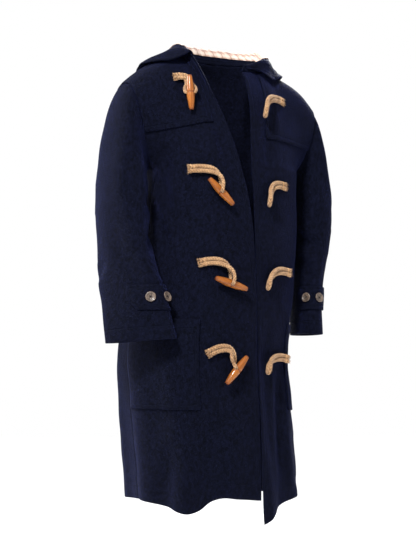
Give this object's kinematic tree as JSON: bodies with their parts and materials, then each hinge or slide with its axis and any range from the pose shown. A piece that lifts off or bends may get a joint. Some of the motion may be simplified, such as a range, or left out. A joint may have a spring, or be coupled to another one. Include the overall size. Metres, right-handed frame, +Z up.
{
  "type": "duffle coat",
  "caption": "Knee-length hooded duffle coat of heavy wool, worn open and hollow, with wooden toggles, rope loops, shoulder yokes, patch pockets and cuff straps.",
  "frame": {"origin": "the nape, at the middle of the collar seam's height, where the coat hangs from the wearer's shoulders", "axes": "+Z up the wearer's spine, -Y out of the coat's front, +X towards the wearer's left arm"},
  "size_m": [0.6162, 0.412, 1.1381],
  "materials": {
    "navy_wool": "matte, felted nap",
    "checked_lining": "matte, woven check",
    "jute_rope": "matte, braided",
    "toggle_wood": "varnished",
    "button_horn": "polished"
  },
  "bodies": {
    "root": {"front_right": "navy_wool", "front_left": "navy_wool", "back": "navy_wool", "yoke_right": "navy_wool", "yoke_left": "navy_wool", "yoke_back": "navy_wool", "pocket_right": "navy_wool", "pocket_left": "navy_wool", "sleeve_right": "navy_wool", "sleeve_left": "navy_wool", "cuff_tab_right": "navy_wool", "cuff_tab_left": "navy_wool", "hood": "navy_wool", "hood_lining": "checked_lining", "cuff_button_right_1": "button_horn", "cuff_button_right_2": "button_horn", "cuff_button_left_1": "button_horn", "cuff_button_left_2": "button_horn", "toggle_1": "toggle_wood", "toggle_rope_1": "jute_rope", "loop_rope_1": "jute_rope", "toggle_2": "toggle_wood", "toggle_rope_2": "jute_rope", "loop_rope_2": "jute_rope", "toggle_3": "toggle_wood", "toggle_rope_3": "jute_rope", "loop_rope_3": "jute_rope", "toggle_4": "toggle_wood", "toggle_rope_4": "jute_rope", "loop_rope_4": "jute_rope"}
  },
  "joints": []
}
